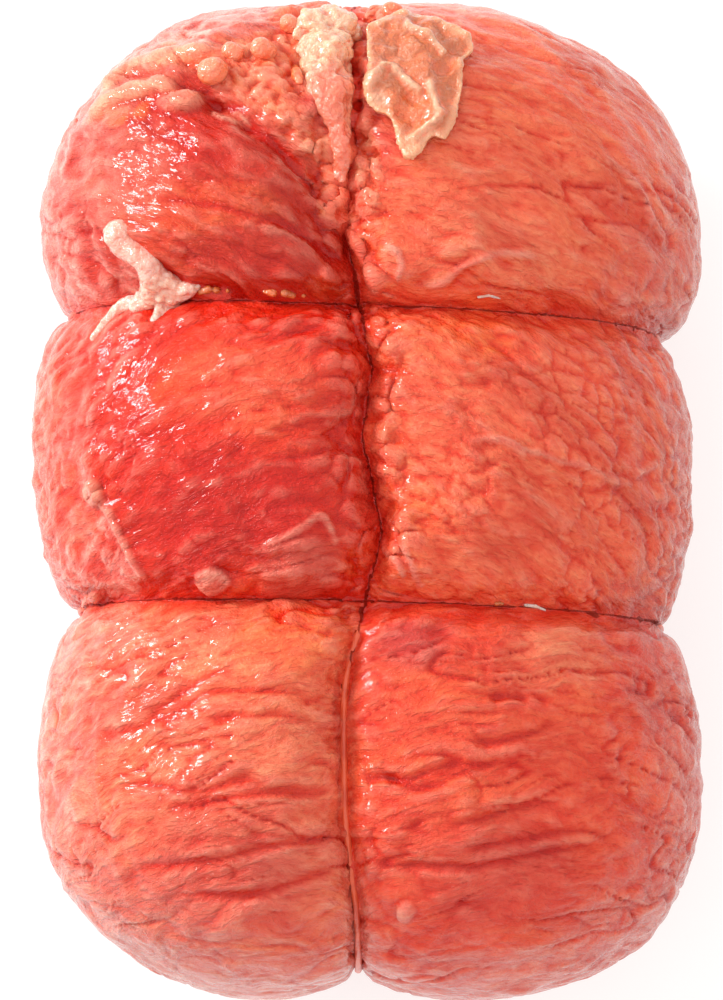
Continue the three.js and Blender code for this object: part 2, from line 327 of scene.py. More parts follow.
class Skin:
    """The points of a piece as arrays in millimetres, for shaping and colouring them together."""

    def __init__(self, piece: bpy.types.Object) -> None:
        """Read the piece's points.

        Args:
            piece: The piece, whose mesh is in place.
        """
        self.mesh = piece.data
        self.points = self._read(self.mesh.vertices, "co") / MM
        self.normals = self._read(self.mesh.vertex_normals, "vector")

    def _read(self, source: bpy.types.bpy_prop_collection, name: str) -> np.ndarray:
        """Read one vector for each point.

        Args:
            source: The points, or their normals.
            name: The vector's name there.

        Returns:
            The vectors, one row for each point.
        """
        values = np.empty(len(self.mesh.vertices) * 3, np.float32)
        source.foreach_get(name, values)
        return values.reshape(-1, 3).astype(float)

    def lift(self, heights: np.ndarray) -> None:
        """Move each point out along its normal.

        Args:
            heights: How far, in millimetres, one for each point.
        """
        self.move(self.normals * heights[:, None])

    def move(self, steps: np.ndarray) -> None:
        """Move each point.

        Args:
            steps: The moves in millimetres, one row for each point.
        """
        self.points += steps
        self.mesh.vertices.foreach_set("co", (self.points * MM).astype(np.float32).ravel())
        self.mesh.update()
        self.normals = self._read(self.mesh.vertex_normals, "vector")

    def raise_up(self, heights: np.ndarray) -> None:
        """Move each point straight up, in millimetres."""
        self.move(heights[:, None] * np.array([0.0, 0.0, 1.0]))

    def relief(self, reach: int) -> np.ndarray:
        """Measure how far each point stands out from its surroundings.

        Args:
            reach: How many edges the surroundings reach.

        Returns:
            The heights in millimetres: above zero on bumps, below in hollows.
        """
        ends = np.empty(len(self.mesh.edges) * 2, np.int32)
        self.mesh.edges.foreach_get("vertices", ends)
        ends = np.concatenate([ends.reshape(-1, 2), ends.reshape(-1, 2)[:, ::-1]])
        count = np.maximum(np.bincount(ends[:, 0], minlength=len(self.points)), 1)
        middle = self.points
        for _ in range(reach):
            sums = [np.bincount(ends[:, 0], middle[ends[:, 1], axis], len(middle)) for axis in range(3)]
            middle = np.stack(sums, axis=1) / count[:, None]
        return ((self.points - middle) * self.normals).sum(axis=1)

    def colour(self, name: str, values: np.ndarray) -> None:
        """Keep a colour for each point.

        Args:
            name: The attribute's name.
            values: Linear colours, one row for each point.
        """
        layer = self.mesh.color_attributes.new(name, "FLOAT_COLOR", "POINT")
        solid = np.hstack([np.clip(values, 0, 1), np.ones((len(values), 1))])
        layer.data.foreach_set("color", solid.astype(np.float32).ravel())

    def vector(self, name: str, values: np.ndarray) -> None:
        """Keep a vector for each point.

        Args:
            name: The attribute's name.
            values: The vectors, one row for each point.
        """
        layer = self.mesh.attributes.new(name, "FLOAT_VECTOR", "POINT")
        layer.data.foreach_set("vector", values.astype(np.float32).ravel())


def mix(base: np.ndarray, colour: Flesh, share: np.ndarray) -> np.ndarray:
    """Lay a colour over others.

    Args:
        base: The colours below, one row each.
        colour: The colour on top.
        share: How much of it each row gets, 0 to 1.

    Returns:
        The mixed colours.
    """
    return base + (np.array(colour.value) - base) * np.clip(share, 0, 1)[:, None]


def shade_hollows(base: np.ndarray, share: np.ndarray) -> np.ndarray:
    """Paint shade into hollows: make colours redder and a little darker there.

    Args:
        base: The colours, one row each.
        share: How much, 0 to 1.

    Returns:
        The colours with the painted shade.
    """
    return base * (1 - np.clip(share, 0, 1)[:, None] * np.array([0.12, 0.7, 0.8]))


# ---- materials ----


class Graph:
    """The nodes of one material, made and linked by short calls."""

    def __init__(self, name: str) -> None:
        """Start an empty material.

        Args:
            name: The material's name.
        """
        self.material = bpy.data.materials.new(name)
        self.material.use_nodes = True
        self.tree = self.material.node_tree
        self.tree.nodes.clear()

    def node(self, kind: str, settings: dict[str, object] | None = None, **inputs: object) -> bpy.types.Node:
        """Add a node.

        Args:
            kind: The node's type, without the ShaderNode in front.
            settings: Its own settings.
            **inputs: Values or sockets for its inputs, named with _ for a space, or in0, in1 by number.

        Returns:
            The node.
        """
        made = self.tree.nodes.new("ShaderNode" + kind)
        for name, value in (settings or {}).items():
            setattr(made, name, value)
        for name, value in inputs.items():
            socket = made.inputs[int(name[2:])] if name[2:].isdigit() else made.inputs[name.replace("_", " ")]
            if isinstance(value, bpy.types.NodeSocket):
                self.tree.links.new(value, socket)
            else:
                socket.default_value = value
        return made

    def maths(self, operation: str, *values: object) -> bpy.types.NodeSocket:
        """Add a sum on numbers and give its result."""
        inputs = {f"in{index}": value for index, value in enumerate(values)}
        return self.node("Math", {"operation": operation}, **inputs).outputs[0]

    def ramp(self, value: object, low: float, high: float) -> bpy.types.NodeSocket:
        """Rise smoothly from 0 to 1 as the value goes from low to high."""
        settings = {"interpolation_type": "SMOOTHSTEP"}
        return self.node("MapRange", settings, Value=value, From_Min=low, From_Max=high).outputs[0]

    def blend(self, share: object, below: object, above: object, how: str = "MIX") -> bpy.types.NodeSocket:
        """Mix two colours."""
        settings = {"data_type": "RGBA", "blend_type": how}
        return self.node("Mix", settings, in0=share, in6=below, in7=above).outputs[2]

    def scaled(self, vector: object, scale: tuple[float, float, float]) -> bpy.types.NodeSocket:
        """Stretch coordinates."""
        return self.node("VectorMath", {"operation": "MULTIPLY"}, in0=vector, in1=scale).outputs[0]

    def noise(self, vector: object, scale: float, detail: float, roughness: float) -> bpy.types.NodeSocket:
        """Sample noise, from 0 to 1."""
        inputs = {"Vector": vector, "Scale": scale, "Detail": detail, "Roughness": roughness}
        return self.node("TexNoise", **inputs).outputs[0]

    def lines(self, vector: object, width: float, detail: float = 1) -> bpy.types.NodeSocket:
        """Draw thin wandering lines, where noise passes through its middle: 1 on a line, 0 off it."""
        away = self.maths("ABSOLUTE", self.maths("SUBTRACT", self.noise(vector, 1.0, detail, 0.5), 0.5))
        return self.ramp(away, width, 0.0)

    def bump(self, height: object, distance: float, strength: float = 1.0) -> bpy.types.NodeSocket:
        """Roughen the surface by a height."""
        return self.node("Bump", Height=height, Distance=distance, Strength=strength).outputs[0]

    def place(self) -> bpy.types.NodeSocket:
        """Give the place on the piece, in millimetres."""
        return self.scaled(self.node("TexCoord").outputs[3], (1 / MM, 1 / MM, 1 / MM))

    def attribute(self, name: str, output: int) -> bpy.types.NodeSocket:
        """Read what the piece keeps at each point: output 0 is a colour, 1 a vector."""
        return self.node("Attribute", {"attribute_name": name}).outputs[output]

    def finish(self, **inputs: object) -> bpy.types.Material:
        """Add the shader and the output.

        Args:
            **inputs: The shader's inputs.

        Returns:
            The finished material.
        """
        shader = self.node("BsdfPrincipled", {"subsurface_method": "RANDOM_WALK"}, **inputs)
        self.node("OutputMaterial", Surface=shader.outputs[0])
        return self.material


@dataclass(frozen=True)
class WetVeal:
    """Raw veal under a thin wet membrane: fibres, fine creases, pale threads and a crisp broken gloss."""

    fibre: tuple[float, float, float] = (0.62, 1.35, 0.62)
    fine: tuple[float, float, float] = (0.75, 1.8, 0.75)
    crease: tuple[float, float, float] = (0.13, 0.55, 0.13)
    net: tuple[float, float, float] = (0.42, 0.62, 0.42)
    glow: float = 0.08
    glow_depth: float = 0.0012
    roughness: float = 0.19
    coat: float = 0.48
    coat_roughness: float = 0.07
    rough_depth: float = 0.0008
    wet_depth: float = 0.00024

    def material(self) -> bpy.types.Material:
        """Build the material.

        Returns:
            The material, which reads the piece's colours, its grain and how strongly each pattern shows.
        """
        g = Graph("wet_veal")
        base = g.attribute("flesh", 0)
        grain = g.attribute("grain", 1)
        looks = g.node("SeparateColor", Color=g.attribute("looks", 0)).outputs

        fibres = g.noise(g.scaled(grain, self.fibre), 1.0, 4, 0.68)
        fine = g.noise(g.scaled(grain, self.fine), 1.0, 1, 0.5)
        creases = g.maths("MULTIPLY", g.lines(g.scaled(grain, self.crease), 0.09, 3), looks[0])
        net = g.maths("MULTIPLY", g.lines(g.scaled(grain, self.net), 0.12, 3), looks[1])
        drawn = g.maths("MAXIMUM", creases, net)

        # the shade below darkens the colour where the bump dips and along the crease and net lines, and
        # lightens it on the bump's crowns: painted shade and painted highlight, over the fibres' own mottle
        limits = {"From_Min": 0.25, "From_Max": 0.75, "To_Min": 0.5, "To_Max": 1.52}
        shade = g.node("MapRange", Value=fibres, **limits).outputs[0]
        shade = g.maths("MULTIPLY", shade, g.maths("SUBTRACT", 1.0, g.maths("MULTIPLY", drawn, 0.38)))
        tone = g.node("CombineColor", in0=g.maths("POWER", shade, 0.15), in1=shade, in2=shade).outputs[0]
        colour = g.blend(1.0, base, tone, "MULTIPLY")

        rough = g.bump(g.maths("SUBTRACT", fibres, g.maths("MULTIPLY", drawn, 0.15)), self.rough_depth)
        wet = g.bump(g.maths("ADD", fine, g.maths("MULTIPLY", fibres, 0.3)), self.wet_depth)
        gloss = g.maths("ADD", self.roughness, g.maths("MULTIPLY", looks[2], 0.3))
        return g.finish(
            Base_Color=colour,
            Roughness=gloss,
            Normal=rough,
            Subsurface_Weight=self.glow,
            Subsurface_Radius=(1.0, 0.32, 0.2),
            Subsurface_Scale=self.glow_depth,
            Specular_IOR_Level=0.1,
            Coat_Weight=self.coat,
            Coat_Roughness=self.coat_roughness,
            Coat_Normal=wet,
        )


@dataclass(frozen=True)
class MoistFat:
    """Soft fat, a little clear, with a fine lumpy gloss."""

    name: str
    warm: Flesh = Flesh.AMBER
    pale: Flesh = Flesh.CREAM
    glow: float = 0.45
    glow_depth: float = 0.0015
    lump_size: float = 0.9
    roughness: float = 0.2

    def material(self) -> bpy.types.Material:
        """Build the material.

        Returns:
            The material, which reads the piece's flesh colours.
        """
        g = Graph(self.name)
        base = g.attribute("flesh", 0)
        place = g.place()
        lumps = g.noise(place, 1 / self.lump_size, 3, 0.6)
        # the colour follows the bump: warmer in its dips, painted shade, and paler on its crowns, painted
        # highlight
        warmer = g.blend(g.maths("MULTIPLY", g.ramp(lumps, 0.5, 0.3), 0.35), base, (*self.warm.value, 1))
        paler = g.blend(g.maths("MULTIPLY", g.ramp(lumps, 0.52, 0.75), 0.3), warmer, (*self.pale.value, 1))
        rough = g.bump(lumps, 0.0007)
        wet = g.bump(g.noise(place, 1.0, 1, 0.5), 0.0003)
        return g.finish(
            Base_Color=paler,
            Roughness=self.roughness,
            Normal=rough,
            Subsurface_Weight=self.glow,
            Subsurface_Radius=(1.0, 0.6, 0.4),
            Subsurface_Scale=self.glow_depth,
            Coat_Weight=0.9,
            Coat_Roughness=0.06,
            Coat_Normal=wet,
        )


@dataclass(frozen=True)
class SoakedTie:
    """A smooth tie, soaked orange brown."""

    roughness: float = 0.35

    def material(self) -> bpy.types.Material:
        """Build the material.

        Returns:
            The material.
        """
        g = Graph("soaked_tie")
        place = g.place()
        stain = g.noise(place, 0.25, 3, 0.6)
        lay = g.noise(g.scaled(place, (3.0, 0.8, 3.0)), 1.0, 2, 0.6)
        colour = g.blend(g.ramp(stain, 0.4, 0.65), (*Flesh.TIE.value, 1), (*Flesh.STAIN.value, 1))
        return g.finish(
            Base_Color=colour,
            Roughness=self.roughness,
            Normal=g.bump(lay, 0.0003, 0.5),
            Coat_Weight=0.3,
            Coat_Roughness=0.2,
        )


# ---- pieces ----


def only(piece: bpy.types.Object) -> None:
    """Select one object and nothing else.

    Args:
        piece: The object to select and make active.
    """
    bpy.ops.object.select_all(action="DESELECT")
    piece.select_set(True)
    bpy.context.view_layer.objects.active = piece


def copy_of(node: str, name: str) -> bpy.types.Object:
    """Copy a solid of the frame and join its loose triangles.

    Args:
        node: The solid's node.
        name: The new piece's name.

    Returns:
        The new piece.
    """
    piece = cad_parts[node].copy()
    piece.data = piece.data.copy()
    piece.name = piece.data.name = name
    for key in list(piece.keys()):
        del piece[key]
    piece.parent = None
    piece.data.materials.clear()
    bpy.context.scene.collection.objects.link(piece)
    only(piece)
    bpy.ops.object.mode_set(mode="EDIT")
    bpy.ops.mesh.select_all(action="SELECT")
    bpy.ops.mesh.remove_doubles(threshold=1e-6)
    bpy.ops.object.mode_set(mode="OBJECT")
    return piece


def modify(piece: bpy.types.Object, kind: str, **settings: object) -> None:
    """Add a modifier to a piece and apply it.

    Args:
        piece: The piece.
        kind: The modifier's type.
        **settings: The modifier's settings.
    """
    only(piece)
    made = piece.modifiers.new(kind.lower(), kind)
    for name, value in settings.items():
        setattr(made, name, value)
    bpy.ops.object.modifier_apply(modifier=made.name)


def dress(piece: bpy.types.Object, material: bpy.types.Material, slot: str, *nodes: str) -> bpy.types.Object:
    """Give a piece its material and tie it to the frame.

    Args:
        piece: The finished piece.
        material: Its material.
        slot: The material slot; not used.
        *nodes: The solids that it replaces.

    Returns:
        The piece.
    """
    piece.data.materials.append(material)
    only(piece)
    bpy.ops.object.shade_smooth()
    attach(piece, "root")
    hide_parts(*nodes)
    return piece


def rise(level: np.ndarray, line: float, reach: float) -> np.ndarray:
    """Fade from a line: 1 on it, 0 past the reach.

    Args:
        level: The distance measure of each place.
        line: Where the line lies.
        reach: How far the fade goes.

    Returns:
        The share at each place.
    """
    return np.exp(-(((level - line) / reach) ** 2))


def closed_over(points: np.ndarray) -> np.ndarray:
    """Weigh where the lengthwise valley is closed over the tie: 0 in its near part, where the tie shows."""
    return smooth_step(*TIE_HIDDEN, points[:, 1])


def upper_part(points: np.ndarray) -> np.ndarray:
    """Weigh the upper part of the roll, where the meat bulges over the valleys."""
    return smooth_step(*UPPER_PART, points[:, 2])


@dataclass(frozen=True)
class Lobe:
    """One of the six lobes: where it lies, its colour and how its fibres run.

    slope is how far the fibres climb towards the far end for each millimetre to the right,
    and bend curves them. wrinkles, cells and bumps are how strongly each shows.
    """

    centre: Plan
    colour: Flesh
    slope: float
    bend: float
    wrinkles: float
    cells: float
    bumps: float


@dataclass
class VealRoll:
    """The roll of veal: the solid's form with its wrinkles, creases, lumps and colours."""

    voxel: float = 0.34
    smoothing: int = 28
    underside_share: float = 0.2
    finished_share: float = 0.63
    channel_smoothing: int = 200
    channel_half: float = 1.9
    channel_edge: float = 0.9
    cross_line: float = 0.4
    seam_line: float = 0.5
    line_sway: float = 0.35
    pucker_height: float = 1.0
    strip_height: float = 0.45
    swell_height: float = 0.28
    bump_height: float = 0.28
    cell_height: float = 0.24
    crease_depth: float = 0.26
    far_valley: float = 15.5
    near_valley: float = -10.8
    far_slope: float = 0.038
    near_slope: float = 0.03
    seam: Line = (
        (-0.7, -44), (-1.9, -29), (-2.0, -19), (-0.1, -10.8), (1.4, -5.1), (0.7, -1),
        (-0.3, 3.5), (0.6, 9.9), (-0.5, 15.5), (-2.4, 26), (-2.1, 31), (-1.0, 45),
    )
    lobes: tuple[Lobe, ...] = (
        Lobe((-15, 26), Flesh.SCARLET, -0.38, -0.010, 0.9, 0.1, 1.1),
        Lobe((14, 27), Flesh.SALMON, -0.32, -0.010, 1.3, 0.15, 0.95),
        Lobe((-15, 3), Flesh.RED_VEAL, 0.34, -0.012, 0.8, 0.65, 1.0),
        Lobe((14, 3), Flesh.SALMON, -0.42, -0.010, 0.6, 1.0, 0.9),
        Lobe((-15, -26), Flesh.APRICOT, 0.22, -0.009, 1.5, 0.0, 0.8),
        Lobe((14, -26), Flesh.ROSE, 0.04, -0.006, 1.4, 0.3, 0.8),
    )

    def build(self) -> bpy.types.Object:
        """Build the roll.

        Returns:
            The finished piece.
        """
        piece = copy_of("meat", "veal_roll")
        modify(piece, "REMESH", mode="VOXEL", voxel_size=self.voxel * MM)
        modify(piece, "SMOOTH", factor=0.5, iterations=self.smoothing)
        self._thin_underside(piece)
        self._fill_channels(piece)
        self._close_valleys()
        self._lay_grain()
        self._wrinkle()
        self._work()
        self._flatten()
        self._paint()
        modify(piece, "DECIMATE", ratio=self.finished_share)
        return dress(piece, WetVeal().material(), "veal", "meat")

    def _thin_underside(self, piece: bpy.types.Object) -> None:
        """Leave fewer faces on the underside.

        Args:
            piece: The roll.
        """
        for face in piece.data.polygons:
            face.select = face.normal[2] < -0.2
        only(piece)
        bpy.ops.object.mode_set(mode="EDIT")
        bpy.ops.mesh.select_mode(type="FACE")
        bpy.ops.mesh.decimate(ratio=self.underside_share)
        bpy.ops.object.mode_set(mode="OBJECT")

    def _find_valleys(self) -> None:
        """Measure how far each point lies from the three valleys, on the plan."""
        x, y, _ = self.skin.points.T
        line = np.array(self.seam)
        self.from_seam = x - np.interp(y, line[:, 1], line[:, 0])
        self.from_far = y + self.far_slope * x - self.far_valley
        self.from_near = y + self.near_slope * x - self.near_valley
        self.from_cross = np.minimum(np.abs(self.from_far), np.abs(self.from_near))
        faces_up = smooth_step(0.02, 0.3, self.skin.normals[:, 2])
        self.on_top = np.maximum(faces_up, smooth_step(20, 26, self.skin.points[:, 2]))

    def _fill_channels(self, piece: bpy.types.Object) -> None:
        """Smooth the tie's channel away on top, wherever the meat closes over the tie.

        Args:
            piece: The roll.
        """
        self.skin = Skin(piece)
        self._find_valleys()
        _, y, z = self.skin.points.T
        half, edge = self.channel_half, self.channel_edge
        reach = half + 1.5 * smooth_step(18, 23, y)
        along = smooth_step(reach, reach - edge, np.abs(self.from_seam - 0.5 * (reach - half)))
        along *= 0.06 + 0.94 * closed_over(self.skin.points)
        share = np.maximum(along, smooth_step(half, half - edge, self.from_cross)) * smooth_step(22, 27, z)
        group = piece.vertex_groups.new(name="channels")
        for index in np.flatnonzero(share > 0.01).tolist():
            group.add([index], float(share[index]), "REPLACE")
        modify(piece, "SMOOTH", factor=0.5, iterations=self.channel_smoothing, vertex_group="channels")
        piece.vertex_groups.clear()
        self.skin = Skin(piece)
        self._find_valleys()

    def _in_cross_valley(self, sway: np.ndarray, reach: float) -> np.ndarray:
        """Weigh how near each point is to the floor of the far or the near valley, with a sway."""
        return np.maximum(rise(self.from_far + sway, 0, reach), rise(self.from_near + sway, 0, reach))

    def _close_valleys(self) -> None:
        """Press a thin wandering line into each valley and pucker its lips."""
        closed = closed_over(self.skin.points)
        sway = self.line_sway * cloud(self.skin.points, (2.6, 2.6, 2.6), 29)
        fading = 1 - 0.7 * smooth_step(2, 12, self.skin.points[:, 0])
        in_seam = rise(self.from_seam + sway, 0, self.seam_line) * closed
        self.tight = np.maximum(self._in_cross_valley(sway, self.cross_line) * fading, in_seam)
        lips = rise(np.abs(self.from_seam), 1.8, 1.5)
        dome, gap = pebbles(wandering(self.skin.points, 2.5, 0.8, 40), (3.6, 2.5, 3.6), lips)
        puckers = self.pucker_height * (dome - 0.45 * gap - 0.25) * lips * (0.3 + 0.7 * closed)
        puckers += 0.45 * cloud(self.skin.points, (1.8, 2.8, 2.8), 31) * rise(self.from_cross, 1.5, 1.3)
        raised = self.strip_height * rise(self.from_seam, 0, 0.9) * (1 - closed)
        deep = 0.14 + 0.3 * smooth_step(-0.1, 0.4, cloud(self.skin.points, (3, 3, 3), 41))
        deep += 0.38 * rise(self.from_seam, 0, 1.0) * closed
        self.skin.raise_up((puckers + raised - deep * self.tight) * upper_part(self.skin.points))

    def _lay_grain(self) -> None:
        """Lay coordinates along and across the fibres of each lobe, and keep them on the mesh."""
        x, y, z = self.skin.points.T
        row = np.where(self.from_far > 0, 0, np.where(self.from_near > 0, 1, 2))
        self.lobe_index = row * 2 + (self.from_seam > 0)
        grain = np.empty_like(self.skin.points)
        for index, lobe in enumerate(self.lobes):
            inside = self.lobe_index == index
            across = x - lobe.centre[0]
            along = y - lobe.centre[1] - lobe.slope * across - lobe.bend * across**2
            grain[inside] = np.stack([across + 40 * index, along + 60 * index, z], axis=1)[inside]
        self.grain = wandering(grain, 4.5, 0.9, 1)
        self.skin.vector("grain", self.grain)

    def _of_lobe(self, name: str) -> np.ndarray:
        """Look up a lobe's number at each of its points."""
        return np.array([getattr(lobe, name) for lobe in self.lobes])[self.lobe_index]

    def _wrinkle(self) -> None:
        """Press the fibres' creases into the skin and let the flesh between them swell."""
        uneven = 0.25 + 0.75 * smooth_step(-0.2, 0.35, cloud(self.grain, (8, 5, 8), 6))
        long = creases(self.grain, (10, 2.4, 10), 0.09, 4)
        short = creases(self.grain, (4.5, 1.5, 4.5), 0.14, 5)
        self.crease = np.clip(self._of_lobe("wrinkles") * uneven * (long + 0.5 * short), 0, 1.4)
        cells = self._of_lobe("cells")
        dome, gap = pebbles(self.grain, (2.6, 1.5, 2.6), cells)
        cells = cells * (0.35 + 0.65 * smooth_step(-0.3, 0.3, cloud(self.grain, (7, 7, 7), 9)))
        self.crease += 0.6 * cells * gap
        bumps = cloud(self.grain, (2.3, 1.25, 2.3), 8) * self._of_lobe("bumps")
        rises = self.swell_height * cloud(self.grain, (6.0, 2.6, 6.0), 7) - self.crease_depth * self.crease
        rises += self.cell_height * cells * dome + self.bump_height * bumps
        self.skin.lift(rises * (0.6 + 0.4 * self.on_top))

    def _work(self) -> None:
        """Work the listed strokes, patches and grains into the skin."""
        self.plan = wandering(self.skin.points, 2.6, 0.3, 11)[:, :2]
        self.loose_plan = wandering(self.skin.points, 4.5, 1.8, 14)[:, :2]
        heights = np.zeros(len(self.plan))
        for mark, lines in MARKS:
            for line in lines:
                heights += mark.height * mark.reach(line, self.plan)
        for patch in PATCHES:
            if patch.height:
                heights += patch.height * patch.share(self.plan)
        self.ragged = RAGGED.reach(WEDGE, self.plan)
        for patch in RAGGED_PATCHES:
            self.ragged = np.maximum(self.ragged, patch.share(self.plan))
        self.ragged *= self.on_top
        crumbly = wandering(self.skin.points, 1.8, 0.7, 17)
        dome, self.gap = pebbles(crumbly, (1.2, 0.9, 1.0), self.ragged)
        grit = cloud(crumbly, (0.8, 0.8, 0.8), 20)
        folds = cloud(self.skin.points, (2.6, 3.2, 2.6), 22)
        heights += self.ragged * (0.6 * dome + 0.3 * grit + 0.6 * folds - 0.3)
        self.skin.lift(heights * self.on_top)

    def _flatten(self) -> None:
        """Keep the underside flat, where the roll rests."""
        self.skin.raise_up(-np.minimum(self.skin.points[:, 2], 0))

    def _paint(self) -> None:
        """Colour the skin."""
        flesh = np.array([lobe.colour.value for lobe in self.lobes])[self.lobe_index]
        drift = cloud(self.grain, (8, 5, 8), 21)
        flesh = mix(flesh, Flesh.ORANGE, 0.3 * smooth_step(0.05, 0.5, drift))
        flesh = mix(flesh, Flesh.RED, 0.35 * smooth_step(-0.05, -0.5, drift))
        for patch in PATCHES:
            if patch.colour:
                plan = self.plan if patch.height else self.loose_plan
                flesh = mix(flesh, patch.colour, patch.strength * patch.share(plan) * self.on_top)
        flesh = self._paint_rims(flesh)
        flesh = mix(flesh, Flesh.WEDGE, 0.85 * self.ragged)
        # the gaps between the ragged grains are reddened: painted shade
        flesh = mix(flesh, Flesh.RED, 0.3 * self.ragged * self.gap)
        specks = cloud(self.skin.points, (1.6, 2.2, 1.6), 38)
        flesh = mix(flesh, Flesh.FAT, 0.5 * self.ragged * smooth_step(0.15, 0.5, specks))
        flesh = mix(flesh, Flesh.ORANGE, 0.5 * self.ragged * smooth_step(-0.15, -0.5, specks))
        for mark, lines in MARKS:
            for line in lines if mark.colour else ():
                flesh = mix(flesh, mark.colour, mark.strength * mark.reach(line, self.plan) * self.on_top)
        # the creases are darkened and reddened: painted shade
        flesh = shade_hollows(flesh, 0.75 * self.crease * self.on_top * (1 - self.ragged))
        # hollows of the relief darker and redder, painted shade; raised spots pinker, painted highlight
        stands = self.skin.relief(8)
        flesh = shade_hollows(flesh, 0.75 * smooth_step(0.02, -0.15, stands))
        flesh = mix(flesh, Flesh.PINK, 0.32 * smooth_step(0.03, 0.16, stands))
        flesh = self._paint_valleys(flesh)
        self.skin.colour("flesh", flesh)
        dull = 0.35 * smooth_step(0.1, -0.4, cloud(self.skin.points, (6, 6, 6), 23))
        plain = 1 - 0.8 * self.ragged
        creased = np.clip(0.6 * self._of_lobe("wrinkles"), 0, 1) * plain
        netted = np.clip(0.2 + 0.5 * self._of_lobe("cells"), 0, 1) * plain
        self.skin.colour("looks", np.stack([creased, netted, np.maximum(dull, self.tight)], axis=1))

    def _paint_rims(self, flesh: np.ndarray) -> np.ndarray:
        """Pale the rims, partly for the silvery membrane that runs down the sides in streaks and partly as a
        painted reflection of the bright surround; they are paler and more silvery towards the key light,
        painted light, and greyer away from it, painted shade.

        Args:
            flesh: The colours so far, one row for each point.

        Returns:
            The new colours.
        """
        x, y, z = self.skin.points.T
        tilt = self.skin.normals[:, 2]
        centres = np.array([lobe.centre for lobe in self.lobes])[self.lobe_index]
        turn = np.arctan2(y - centres[:, 1], x - centres[:, 0])
        round_lobe = np.stack([9 * np.cos(turn), 9 * np.sin(turn), 18 * tilt + 0.3 * z], axis=1)
        streaks = cloud(wandering(round_lobe, 3, 0.7, 24), (4.5, 4.5, 1.5), 25)
        veins = creases(wandering(round_lobe, 2, 0.8, 27), (3.2, 3.2, 1.4), 0.2, 28)
        rim = smooth_step(0.78, 0.25, tilt + 0.12 * cloud(self.skin.points, (6, 6, 6), 26))
        outer = rim * smooth_step(5, 9, self.from_cross + 8 * (np.abs(x) > 20))
        # lit weighs the side towards the key light, for the painted light and shade below
        lit = smooth_step(-14, 16, 0.6 * y - 0.8 * x)
        flesh = mix(flesh, Flesh.PINK, (0.16 + 0.42 * lit) * outer)
        flesh = mix(flesh, Flesh.SILVER, outer * (0.07 + 0.55 * lit) * smooth_step(0.0, 0.45, streaks))
        flesh = mix(flesh, Flesh.RED, outer * 0.35 * smooth_step(-0.1, -0.5, streaks))
        # grey on the rims away from the key light: painted shade
        flesh = mix(flesh, Flesh.GREY, 0.55 * (1 - lit) * outer)
        return mix(flesh, Flesh.SILVER, (0.2 + 0.25 * lit) * outer * veins)

    def _paint_valleys(self, flesh: np.ndarray) -> np.ndarray:
        """Paint shade towards the valleys: the meat darkens and reddens near them, and the thin valley lines
        take a dark red.

        Args:
            flesh: The colours so far, one row for each point.

        Returns:
            The new colours.
        """
        warp = 0.5 * cloud(self.skin.points, (2.0, 2.0, 2.0), 36)
        along = rise(self.from_seam + warp, 0, 1.7) * (0.3 + 0.7 * closed_over(self.skin.points))
        flesh = shade_hollows(flesh, np.maximum(0.5 * self._in_cross_valley(warp, 1.2), 0.6 * along))
        return mix(flesh, Flesh.DEEP, 0.75 * self.tight)


